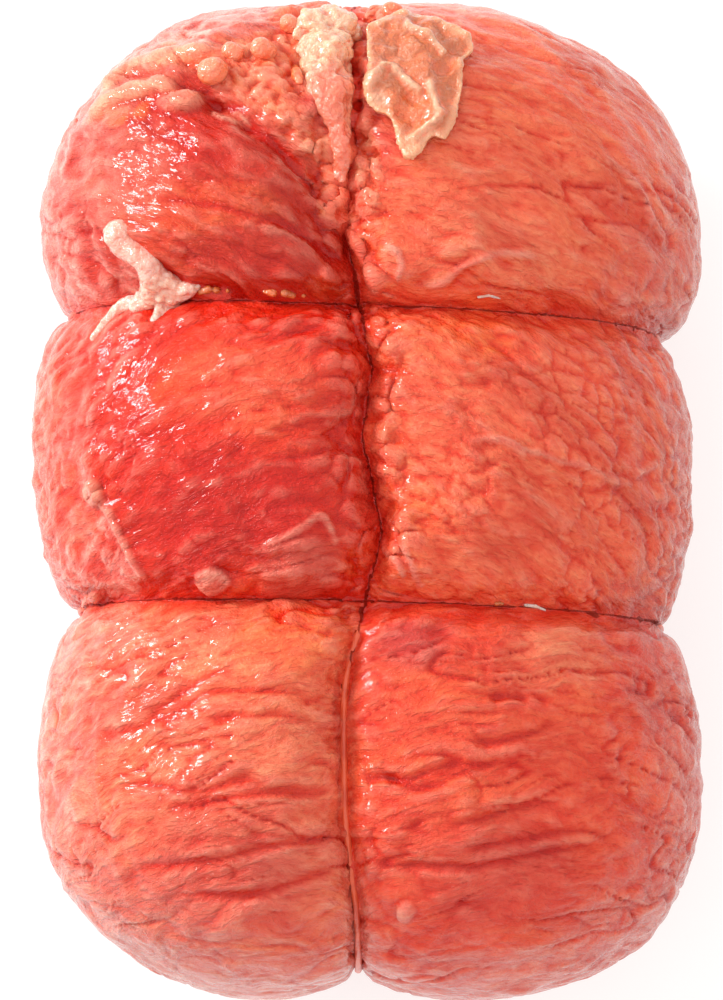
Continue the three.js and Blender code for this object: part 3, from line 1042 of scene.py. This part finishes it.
MARKS: Strokes = (
    (
        # the deep edges of the ragged wedge at the far end, pressed in and painted dark red as shade
        Mark(1.0, -0.9, colour=Flesh.DEEP, strength=0.7, taper=0.05),
        (
            (
                (-14.2, 33.4), (-12.0, 32.4), (-10.5, 31.2), (-8.7, 30.0), (-7.0, 28.4), (-5.2, 26.6),
                (-3.6, 24.6), (-2.3, 22.4),
            ),
        ),
    ),
    (
        # the ragged meat that closes the valley below the tail of the fat, and the thin line on its right,
        # pressed in and painted dark red as shade
        Mark(1.7, 1.5, Profile.ROUND, Flesh.WEDGE, 0.6, 0.1),
        (((-1.8, 36), (-2.0, 33), (-2.2, 30), (-2.5, 27), (-2.6, 24), (-2.2, 21.5)),),
    ),
    (
        Mark(0.7, -0.8, colour=Flesh.DEEP, strength=0.8, taper=0.05),
        (((-0.9, 37), (-0.8, 33.2), (-1.2, 30.9), (-1.5, 28.4), (-1.7, 25.5), (-1.9, 22.9)),),
    ),
    (
        # folds of the top left layer of fat, and the raised edge above the far left lobe
        Mark(1.2, 0.7, Profile.ROUND, Flesh.FAT, 0.7),
        (
            ((-25.0, 32.2), (-23.7, 34.2), (-21.8, 34.9), (-20.3, 35.3), (-18.2, 35.4), (-16.0, 35.4)),
            ((-24.0, 34.6), (-22.6, 36.9), (-20.8, 37.8), (-18.8, 38.2), (-15.4, 38.2), (-13.0, 39.0)),
        ),
    ),
    (
        # clear creases of the far and middle lobes, pressed in and painted red as shade
        Mark(0.7, -0.45, colour=Flesh.RED, strength=0.7),
        (
            (
                (-19.1, 25.9), (-17.8, 24.8), (-14.2, 24.1), (-11.1, 23.4), (-6.7, 22.1), (-3.9, 20.3),
                (-1.9, 18.5),
            ),
            ((-19.1, 20), (-17.8, 18.6), (-16, 17.5), (-12, 17)),
        ),
    ),
    (
        # fainter creases that run to the middle valley, pressed in and painted red as shade
        Mark(0.5, -0.26, colour=Flesh.RED, strength=0.5, taper=0.35),
        (
            ((-10.2, 4.8), (-8, 3.9), (-5.8, 4.3), (-1.4, 5.4)),
            ((-11.1, 12), (-7.6, 12.4), (-3.2, 13.4)),
            ((-9.7, 1.7), (-5.8, 1.2), (-1.8, 3.1)),
        ),
    ),
    (
        # long creases of the near left lobe, pressed in and painted red as shade
        Mark(0.75, -0.42, colour=Flesh.RED_VEAL, strength=0.8),
        (
            (
                (-24.8, -23.4), (-22.6, -22.5), (-19, -21.6), (-16.8, -20.8), (-14.1, -18.9), (-11, -18.8),
                (-4, -19.3),
            ),
            ((-19.9, -21.5), (-17.2, -19.7), (-14.6, -17.8), (-11.9, -16.7)),
            ((-22.1, -26.9), (-18.1, -27), (-15.9, -28.1), (-11, -26.9), (-9.3, -26.5)),
            ((-14.5, -21.6), (-9.3, -21), (-4, -21.8)),
            ((-19, -29.3), (-13.7, -28.6), (-7.5, -27.8), (-2.3, -28)),
            ((-21.7, -34.2), (-14.6, -34.2), (-5.8, -32.1), (-2.3, -31.8)),
            ((-16.3, -36.2), (-11.1, -37.2), (-5.8, -35.5), (-1.8, -34.3)),
        ),
    ),
    (
        # long creases of the near right lobe, pressed in and painted red as shade
        Mark(0.75, -0.42, colour=Flesh.RED, strength=0.6),
        (
            ((-1.2, -26.3), (3, -26.9), (5.6, -26.1), (9.1, -25.2)),
            ((0.4, -25.5), (3.8, -27.8), (5.6, -27.4), (10, -25.6), (11.7, -26)),
            ((6.5, -30.9), (10, -30.4), (13.5, -29.3), (17, -28.5)),
            ((-1.4, -33.6), (3, -34.3), (9.1, -34.7), (17, -32.8), (20.6, -32.3)),
            ((9.1, -23), (11.7, -23.8), (17, -21.5)),
            ((8.2, -33), (13.5, -32.1), (18.8, -31), (22.4, -31.7)),
            ((10.9, -19.7), (12.6, -19.4), (14.4, -19.8)),
        ),
    ),
    (
        # fine raised veins and the edges of thin membranes
        Mark(0.5, 0.4, Profile.ROUND, Flesh.PINK, 0.6),
        (
            (
                (8.5, 2.5), (10, 3.3), (12.2, 3), (14, 2), (15.7, 1.8), (17.5, 1.3), (19.7, 1.1),
                (21.7, -0.1), (23.2, -0.5),
            ),
            ((23.5, 0.7), (24.7, 1.4), (25.9, 2.2)),
            ((20.7, 29.4), (24.3, 26.2), (26.2, 22)),
            ((4.3, 16.9), (6.5, 17), (9.1, 18.8), (11.8, 19.9), (15.8, 19.4)),
            ((-24.6, 1.1), (-23.8, -0.3), (-23.1, -2), (-21.7, -5.1), (-20.4, -7.4), (-19.1, -9.4)),
        ),
    ),
    (
        # the curled lips of the valley
        Mark(0.4, 0.25, Profile.ROUND, Flesh.SILVER, 0.5, 0.1),
        (
            ((1.7, -5.1), (1.5, -6.2), (2.5, -7.4), (3.4, -9.2)),
            ((3, -6.2), (4, -7.9), (4.7, -10)),
            ((1.7, 20.3), (2.8, 19.7), (3.3, 18.3), (2.6, 17.3)),
        ),
    ),
    (
        # the raised edge of the clear skin beside the middle valley
        Mark(0.5, 0.32, Profile.ROUND, Flesh.PINK, 0.6, 0.3),
        (
            (
                (-10.5, -7.0), (-8.2, -6.0), (-6.0, -5.0), (-4.6, -3.9), (-3.9, -3.6), (-3.2, -4.4),
                (-2.6, -5.8), (-2.2, -7.4),
            ),
        ),
    ),
    (
        # the fold along the far valley's right lip
        Mark(0.9, 0.7, Profile.ROUND, Flesh.PINK, 0.4, 0.1),
        (((-1.9, 23.3), (-0.9, 21.7), (-0.2, 20), (0.4, 18.1), (1.2, 16.1)),),
    ),
)

PATCHES: tuple[Patch, ...] = (
    # hollows at the far end, sunk and painted dark red as shade
    Patch((-12.6, 33.3), (2.4, 0.7), Flesh.RED, 0.9, turn=-12, height=-0.7),
    Patch((-0.9, 36.4), (1.0, 1.1), Flesh.DEEP, 0.8, height=-0.8),
    Patch((-0.9, 33.2), (0.8, 0.9), Flesh.DEEP, 0.9, height=-0.8),
    # the layer of fat and the orange flesh at the top left
    Patch((-17, 38.6), (8.5, 2.4), Flesh.FAT, 0.42, turn=-8),
    Patch((-21, 36.0), (4.5, 2.0), Flesh.CREAM, 0.15, turn=30),
    Patch((-15.3, 37.8), (3.2, 1.0), Flesh.ORANGE, 0.6),
    Patch((-22.4, 33.6), (2.0, 1.2), Flesh.ORANGE, 0.8, turn=40),
    Patch((-19.6, 33.8), (1.6, 0.9), Flesh.ORANGE, 0.8, turn=20),
    Patch((-16.2, 33.7), (2.6, 1.2), Flesh.FAT, 0.45, height=0.9),
    Patch((-12.0, 32.1), (2.0, 0.7), Flesh.CREAM, 0.9, turn=-20, height=0.4, hardness=2.5),
    # patches of other colours on the lobes
    # a pink patch where the key light's glints gather on the far left lobe: painted highlight
    Patch((-21.2, 27.0), (4.5, 6.5), Flesh.PINK, 0.35, turn=10),
    Patch((0.4, 29.0), (3.4, 6.0), Flesh.VIOLET, 0.55, turn=-12),
    Patch((3.9, -14.5), (4.6, 3.4), Flesh.VIOLET, 0.75, turn=10),
    Patch((7.5, -16.5), (4, 2.4), Flesh.RED, 0.5, turn=10),
    Patch((-6.7, -14.5), (7, 4), Flesh.ORANGE, 0.7),
    Patch((17.1, -15.2), (6, 3.5), Flesh.PEACH, 0.6, turn=-10),
    Patch((12.5, 20), (9, 4), Flesh.PEACH, 0.4, turn=-10),
    Patch((10, 13), (5, 3), Flesh.ORANGE, 0.8, turn=-10),
    Patch((4.7, -2.2), (3.5, 3), Flesh.ORANGE, 0.6),
    Patch((-10, 8.5), (8, 5), Flesh.SALMON, 0.6, turn=-8),
    Patch((-20.8, 3.5), (4, 4), Flesh.RED, 0.55),
    Patch((-13.5, -3.2), (11, 8), Flesh.BLOOD, 0.85, turn=10),
    Patch((-5.8, -1.5), (5, 5), Flesh.RED, 0.6),
    Patch((-20, -20), (5, 5), Flesh.RED, 0.35),
    Patch((-12, -30), (9, 3), Flesh.RED, 0.4, turn=10),
    Patch((-13, -36), (13, 6.5), Flesh.VIOLET, 0.6, turn=8),
    Patch((13, -36), (11, 6), Flesh.VIOLET, 0.4, turn=-6),
    Patch((24, -19.5), (4, 4), Flesh.RED, 0.3),
    Patch((-5.9, -8.2), (4.6, 3.3), Flesh.GREY, 0.6, turn=14, height=0.12, hardness=1.2),
    # small scraps that lie flat on the meat
    Patch((-13.5, -9.0), (1.5, 1.1), Flesh.PINK, 0.9, height=0.5, hardness=4),
    Patch((-24.4, -9.6), (0.8, 0.5), Flesh.CREAM, 0.9, height=0.5, hardness=3),
    Patch((3.6, -38.0), (0.9, 0.9), Flesh.PINK, 0.6, height=0.5, hardness=2),
    Patch((-24, -0.7), (0.9, 1.3), Flesh.FAT, 0.5, height=0.5, hardness=2),
)

RAGGED = Mark(2.6, 0.0, Profile.ROUND, taper=0.02)
WEDGE: Line = ((-13.0, 36.2), (-10.3, 34.7), (-8.3, 33.2), (-6.3, 31.5), (-4.6, 29.5), (-3.3, 27.6))
RAGGED_PATCHES: tuple[Patch, ...] = (
    Patch((-7.5, 37.0), (6.5, 4.0), hardness=1.6),
    Patch((-3.2, 26.0), (1.1, 3.6), turn=-12, hardness=2),
    Patch((0.2, 27.8), (1.2, 4.5), turn=4, hardness=1.6),
    Patch((-2.5, 42), (7.5, 2.5), hardness=1.5),
)


@dataclass
class Tie:
    """The tie, pressed in between the lobes on top and bare in the near valley and down the sides."""

    pressed_in: float = 2.6
    flush: float = -0.02

    def build(self) -> bpy.types.Object:
        """Build the tie.

        Returns:
            The finished piece.
        """
        piece = copy_of("tie", "tie_thread")
        modify(piece, "SUBSURF", levels=2, render_levels=2)
        skin = Skin(piece)
        closed = closed_over(skin.points)
        pressed = self.pressed_in * closed + self.flush * (1 - closed)
        skin.raise_up(-pressed * upper_part(skin.points))
        return dress(piece, SoakedTie().material(), "tie", "tie")


@dataclass
class FatPiece:
    """A piece of fat that lies on the meat, grown from its solid and from round dabs laid on the roll.

    The dabs are chains of places and radii on the plan, in millimetres.
    """

    name: str
    node: str | None
    roll: bpy.types.Object
    chains: tuple[tuple[tuple[float, float, float], ...], ...]
    colours: tuple[Flesh, Flesh]
    voxel: float = 0.2
    smoothing: int = 3
    crumbs: float = 0.2
    from_solid: bool = True
    sink: float = 0.1
    warm: Flesh = Flesh.AMBER
    pale: Flesh = Flesh.CREAM
    folds: float = 0.0
    crumb_size: float = 1.0
    crumbly: Patch | None = None
    patches: tuple[Patch, ...] = ()
    marks: Strokes = ()

    def build(self) -> bpy.types.Object:
        """Build the piece.

        Returns:
            The finished piece.
        """
        piece = self._start()
        self._lay_dabs(piece)
        modify(piece, "REMESH", mode="VOXEL", voxel_size=self.voxel * MM)
        modify(piece, "SMOOTH", factor=0.5, iterations=self.smoothing)
        self._shape(Skin(piece))
        material = MoistFat(self.name + "_finish", self.warm, self.pale).material()
        return dress(piece, material, "fat", *((self.node,) if self.node else ()))

    def _start(self) -> bpy.types.Object:
        """Start from the solid, or from an empty mesh.

        Returns:
            The new piece.
        """
        if self.from_solid:
            return copy_of(self.node, self.name)
        piece = bpy.data.objects.new(self.name, bpy.data.meshes.new(self.name))
        bpy.context.scene.collection.objects.link(piece)
        return piece

    def _lay_dabs(self, piece: bpy.types.Object) -> None:
        """Lay the dabs on the roll.

        Args:
            piece: The piece that the dabs are added to.
        """
        tree = BVHTree.FromObject(self.roll, bpy.context.evaluated_depsgraph_get())
        only(piece)
        bpy.ops.object.mode_set(mode="EDIT")
        for x, y, radius in self._dabs():
            hit = tree.ray_cast(Vector((x * MM, y * MM, 0.08)), Vector((0, 0, -1)))[0]
            place = (x * MM, y * MM, hit.z + self.sink * radius * MM)
            bpy.ops.mesh.primitive_ico_sphere_add(subdivisions=2, radius=radius * MM, location=place)
        bpy.ops.object.mode_set(mode="OBJECT")

    def _dabs(self) -> list[tuple[float, float, float]]:
        """Fill each chain with dabs about half a radius apart.

        Returns:
            The dabs' places on the plan and their radii.
        """
        dabs = []
        for chain in self.chains:
            for start, end in zip(chain[:-1], chain[1:]):
                gap = np.hypot(end[0] - start[0], end[1] - start[1])
                count = max(1, int(np.ceil(4.5 * gap / (start[2] + end[2]))))
                shares = np.arange(count) / count
                step = np.array(end) - np.array(start)
                dabs += [tuple(np.array(start) + step * share) for share in shares]
            dabs.append(chain[-1])
        return dabs

    def _shape(self, skin: Skin) -> None:
        """Roughen and colour the piece.

        Args:
            skin: The piece's points.
        """
        plan = wandering(skin.points, 1.5, 0.2, 33)[:, :2]
        up = smooth_step(0.1, 0.6, skin.normals[:, 2])
        crumbly = wandering(skin.points, 1.6, 0.5, 35)
        dome, gap = pebbles(crumbly / self.crumb_size, (1.3, 1.0, 1.1), np.ones(len(plan)))
        coarse = self.crumbs * (0.3 + 0.7 * self.crumbly.share(plan) if self.crumbly else 1.0)
        heights = coarse * (dome - 0.6 + 0.5 * cloud(crumbly, (0.7, 0.7, 0.7), 34))
        folds = cloud(skin.points, (2.2, 3.0, 2.2), 37) + 0.3 * cloud(skin.points, (1, 1, 1), 39)
        heights += self.folds * folds * up
        flesh = np.tile(np.array(self.colours[0].value), (len(skin.points), 1))
        flesh = mix(flesh, self.colours[1], smooth_step(-0.1, 0.5, cloud(skin.points, (2.2, 2.2, 2.2), 32)))
        # the gaps between the crumbs take an orange: painted shade
        flesh = mix(flesh, Flesh.WEDGE, min(1.0, 2 * self.crumbs) * 0.6 * gap)
        for patch in self.patches:
            heights += patch.height * patch.share(plan) * up
            flesh = mix(flesh, patch.colour, patch.strength * patch.share(plan)) if patch.colour else flesh
        for mark, lines in self.marks:
            for line in lines:
                share = mark.reach(line, plan)
                heights += mark.height * share * up
                flesh = mix(flesh, mark.colour, mark.strength * share) if mark.colour else flesh
        skin.lift(heights)
        # the hollows of the relief take the warm colour: painted shade
        flesh = mix(flesh, self.warm, 0.65 * smooth_step(-0.01, -0.12, skin.relief(6)))
        skin.colour("flesh", flesh)


FLAKE_RIM: Line = (
    (0.0, 40.1), (1.2, 41.1), (3.0, 42.0), (5.6, 41.6), (9.0, 39.6), (9.5, 38.1), (8.4, 37.0), (8.6, 35.2),
    (8.0, 32.3), (7.0, 29.5), (5.8, 29.9), (5.1, 28.7), (3.7, 27.8), (3.0, 29.3), (2.1, 31.7), (0.8, 32.3),
    (-0.1, 34.0), (0.4, 35.4), (0.0, 40.1),
)


def fat_pieces(roll: bpy.types.Object) -> tuple[FatPiece, ...]:
    """List the pieces of fat on the roll.

    Args:
        roll: The finished roll, which they lie on.

    Returns:
        The pieces, ready to build.
    """
    lump = FatPiece(
        "cream_fat_lump", "fat_lump", roll,
        (
            ((-4.6, 40.6, 1.5), (-3.2, 41.6, 1.5), (-2.2, 41.0, 1.5), (-1.4, 39.9, 1.2)),
            ((-4.0, 38.6, 1.4), (-2.5, 39.0, 1.4)),
            ((-4.9, 38.1, 1.1), (-4.7, 36.6, 1.1), (-4.4, 35.0, 1.0), (-3.7, 33.2, 1.0), (-3.0, 31.6, 0.8)),
            ((-3.4, 36.7, 1.5), (-2.9, 34.7, 1.4), (-2.6, 33.0, 1.2), (-2.3, 31.2, 1.0), (-2.2, 29.6, 0.9)),
            ((-2.2, 29.6, 0.9), (-2.2, 28.0, 0.8), (-2.3, 26.6, 0.6)),
            ((-2.2, 37.0, 0.9), (-1.9, 35.4, 0.8), (-1.8, 33.8, 0.8), (-2.0, 32.4, 0.7)),
            ((-6.0, 39.8, 0.55), (-5.6, 39.7, 0.5)),
        ),
        (Flesh.CREAM, Flesh.FAT), crumbs=0.24, folds=0.5, crumb_size=0.8, voxel=0.17, smoothing=4,
        warm=Flesh.APRICOT, pale=Flesh.PEARL,
        patches=(
            Patch((-3.2, 33.3), (3.2, 5.0), Flesh.ROSE, 0.75),
            Patch((-2.4, 28.0), (2.2, 4.0), Flesh.ROSE, 0.8, hardness=1.5),
            Patch((-6.0, 39.8), (0.9, 0.9), Flesh.CREAM, 0.9),
        ),
    )
    flake = FatPiece(
        "amber_fat_flake", "fat_flake", roll, (), (Flesh.AMBER, Flesh.TAN), crumbs=0.08, folds=0.8,
        voxel=0.17, warm=Flesh.ORANGE,
        patches=(
            Patch((4.2, 32.4), (2.0, 2.2), Flesh.ORANGE, 0.5, turn=20, height=-0.45),
            Patch((1.5, 38.6), (2.2, 2.4), Flesh.TAN, 0.6, height=-0.3),
            Patch((6.8, 36.4), (1.6, 1.1), Flesh.ORANGE, 0.3, turn=30, height=-0.5),
            Patch((4.6, 29.4), (2.6, 1.7), Flesh.FAT, 0.7, turn=20),
            Patch((1.0, 33.2), (1.4, 1.2), Flesh.CREAM, 0.6),
        ),
        marks=(
            (Mark(0.7, 0.15, Profile.ROUND, Flesh.FAT, 0.7, 0.0), (FLAKE_RIM,)),
            (
                Mark(0.65, 0.55, Profile.ROUND, Flesh.CREAM, 0.7, 0.1),
                (
                    ((1.8, 37.0), (2.3, 36.5), (3.6, 35.1), (5.0, 33.9)),
                    ((5.5, 35.4), (5.7, 33.8), (6.3, 32.4), (6.6, 31.6), (5.2, 30.5), (3.8, 29.4)),
                    ((0.3, 34.0), (1.2, 35.6), (1.8, 37.0)),
                    ((3.2, 40.6), (5.2, 39.6), (7.4, 37.6)),
                ),
            ),
        ),
    )
    strand = FatPiece(
        "white_fat_strand", "fat_strand", roll,
        (
            (
                (-21.9, 22.0, 1.5), (-21.3, 21.1, 1.4), (-20.3, 20.2, 1.2), (-19.3, 19.4, 1.2),
                (-18.9, 18.4, 1.3), (-18.7, 17.5, 1.4), (-17.4, 17.0, 1.4), (-16.2, 16.9, 0.9),
                (-14.9, 17.2, 0.35),
            ),
            (
                (-17.9, 17.9, 1.0), (-16.9, 17.2, 1.1), (-17.3, 16.2, 1.1), (-18.0, 15.4, 0.8),
                (-18.8, 14.4, 0.4),
            ),
            ((-18.9, 17.0, 1.3), (-19.6, 16.3, 1.1), (-20.3, 15.9, 0.8)),
            ((-19.2, 16.8, 1.1), (-20.3, 16.4, 0.9), (-21.4, 16.2, 0.7)),
            ((-21.2, 16.3, 0.6), (-22.2, 15.6, 0.6), (-22.9, 14.9, 0.55), (-24.2, 13.3, 0.4)),
        ),
        (Flesh.SILVER, Flesh.PEARL), crumbs=0.3, from_solid=False, warm=Flesh.PINK, pale=Flesh.SILVER,
        folds=0.3, crumb_size=0.8, voxel=0.16, sink=-0.25, crumbly=Patch((-18.0, 16.9), (3.4, 2.4)),
        patches=(
            Patch((-20.8, 20.4), (3.2, 3.8), Flesh.PINK, 0.5),
            Patch((-18.2, 16.6), (2.6, 1.9), Flesh.CREAM, 0.5),
        ),
    )
    beads = FatPiece(
        "amber_beads", None, roll,
        (
            ((-13.7, 36.2, 1.35), (-13.4, 36.3, 1.3)),
            ((-12.0, 38.2, 0.95), (-11.6, 38.0, 0.9)),
            ((-9.3, 38.4, 1.05), (-8.8, 38.2, 1.0)),
            ((-6.9, 41.0, 0.9), (-6.5, 40.8, 0.8)),
            ((-6.2, 36.6, 0.5), (-6.1, 35.8, 0.6), (-5.9, 35.2, 0.4)),
            ((2.2, 42.6, 0.9), (2.7, 42.5, 0.8)),
        ),
        (Flesh.WEDGE, Flesh.ORANGE), crumbs=0.03, from_solid=False, sink=0.55, warm=Flesh.ORANGE,
        pale=Flesh.PEACH,
    )
    scraps = FatPiece(
        "fat_scraps", None, roll,
        (
            ((9.9, 16.1, 0.16), (10.8, 16.2, 0.2), (11.8, 16.0, 0.14)),
            ((14.0, -11.0, 0.18), (15.0, -11.1, 0.22), (15.8, -11.4, 0.14)),
        ),
        (Flesh.PEARL, Flesh.CREAM), crumbs=0.05, voxel=0.12, from_solid=False, smoothing=2,
    )
    crumbs = FatPiece(
        "amber_crumbs", None, roll,
        (
            ((-8.9, 16.5, 0.3), (-8.2, 16.4, 0.4)),
            ((-7.2, 16.4, 0.38), (-6.5, 16.2, 0.3)),
            ((-5.5, 16.2, 0.26),),
            ((11.5, -11.0, 0.22), (12.0, -11.0, 0.2)),
            ((-14.6, 16.8, 0.3), (-13.9, 17.0, 0.42)),
            ((-13.2, 16.9, 0.34),),
            ((-12.2, 16.8, 0.22),),
        ),
        (Flesh.AMBER, Flesh.ORANGE), crumbs=0.1, voxel=0.12, from_solid=False, smoothing=2, sink=0.0,
        warm=Flesh.ORANGE, pale=Flesh.PEACH,
    )
    return lump, flake, strand, beads, scraps, crumbs


# ---- the studio ----


@dataclass
class Studio:
    """A pale floor, a soft key light from the far left, a bright surround and the camera."""

    distance: float = 0.9
    elevation: float = 84.0
    aim: tuple[float, float, float] = (-0.0004, 0.0002, 0.020)
    pixels_per_mm: float = 11.1
    picture: tuple[int, int] = (723, 1000)
    key_place: tuple[float, float, float] = (-0.54, 0.27, 0.195)
    key_size: float = 0.145
    key_power: float = 3.6
    overhead: float = 1.5
    sides: float = 1.0
    lit_side: tuple[float, float, float] = (-0.8, 0.6, 0.0)
    lit_gain: float = 0.98
    shaded_gain: float = 0.64
    floor_glow: float = 0.68
    floor_tone: float = 0.4

    def build(self) -> None:
        """Build the floor, the lights and the camera."""
        self._floor()
        self._lights()
        self._camera()
        bpy.context.scene.view_settings.view_transform = "Standard"

    def _floor(self) -> None:
        """Lay the floor."""
        bpy.ops.object.select_all(action="DESELECT")
        bpy.ops.mesh.primitive_plane_add(size=3.0, location=(0, 0, 0))
        floor = bpy.context.object
        floor.name = "floor"
        g = Graph("pale_floor")
        tone = (self.floor_tone, self.floor_tone, self.floor_tone, 1)
        glow = {"Emission_Color": (1.0, 1.0, 1.0, 1), "Emission_Strength": self.floor_glow}
        floor.data.materials.append(g.finish(Base_Color=tone, Roughness=1.0, Specular_IOR_Level=0.0, **glow))

    def _lights(self) -> None:
        """Hang the key light, pointed at the roll, and light the surround."""
        key = bpy.data.objects.new("key_light", bpy.data.lights.new("key_light", "AREA"))
        key.data.shape = "SQUARE"
        key.data.size = self.key_size
        key.data.energy = self.key_power
        key.location = self.key_place
        key.rotation_euler = (-Vector(self.key_place)).to_track_quat("-Z", "Y").to_euler()
        bpy.context.scene.collection.objects.link(key)
        self._surround()

    def _surround(self) -> None:
        """Light the surround: brighter overhead and on the lit side."""
        world = bpy.data.worlds.new("surround")
        world.use_nodes = True
        tree = world.node_tree
        way = tree.nodes.new("ShaderNodeTexCoord").outputs["Generated"]
        place = tree.nodes.new("ShaderNodeSeparateXYZ")
        facing = tree.nodes.new("ShaderNodeVectorMath")
        facing.operation = "DOT_PRODUCT"
        facing.inputs[1].default_value = self.lit_side
        tree.links.new(way, place.inputs[0])
        tree.links.new(way, facing.inputs[0])
        up, side = (tree.nodes.new("ShaderNodeMapRange") for _ in range(2))
        limits = (
            (up, place.outputs[2], 0.1, 0.95, self.sides, self.overhead),
            (side, facing.outputs["Value"], -1, 1, self.shaded_gain, self.lit_gain),
        )
        for node, source, low, high, first, last in limits:
            tree.links.new(source, node.inputs[0])
            for index, value in enumerate((low, high, first, last), start=1):
                node.inputs[index].default_value = value
        product = tree.nodes.new("ShaderNodeMath")
        product.operation = "MULTIPLY"
        tree.links.new(up.outputs[0], product.inputs[0])
        tree.links.new(side.outputs[0], product.inputs[1])
        sky = tree.nodes["Background"]
        sky.inputs["Color"].default_value = (1.0, 0.97, 0.93, 1)
        tree.links.new(product.outputs[0], sky.inputs["Strength"])
        bpy.context.scene.world = world

    def _camera(self) -> None:
        """Set the camera at the photograph's viewing angle."""
        data = bpy.data.cameras.new("camera")
        focal_pixels = self.pixels_per_mm / MM * self.distance
        data.lens = data.sensor_width * focal_pixels / max(self.picture)
        camera = bpy.data.objects.new("camera", data)
        angle = np.radians(self.elevation)
        back = Vector((0, -np.cos(angle), np.sin(angle)))
        camera.location = Vector(self.aim) + back * self.distance
        camera.rotation_euler = (-back).to_track_quat("-Z", "Y").to_euler()
        bpy.context.scene.collection.objects.link(camera)
        bpy.context.scene.camera = camera


def main() -> None:
    """Build every piece in order and report it."""
    log = logging.getLogger("paupiette")
    roll = VealRoll().build()
    pieces = [roll, Tie().build()]
    pieces += [fat.build() for fat in fat_pieces(roll)]
    for piece in pieces:
        piece.data.calc_loop_triangles()
        log.info("%s: %d triangles", piece.name, len(piece.data.loop_triangles))
    Studio().build()


if __name__ == "__main__":
    logging.basicConfig(level=logging.INFO)
    main()
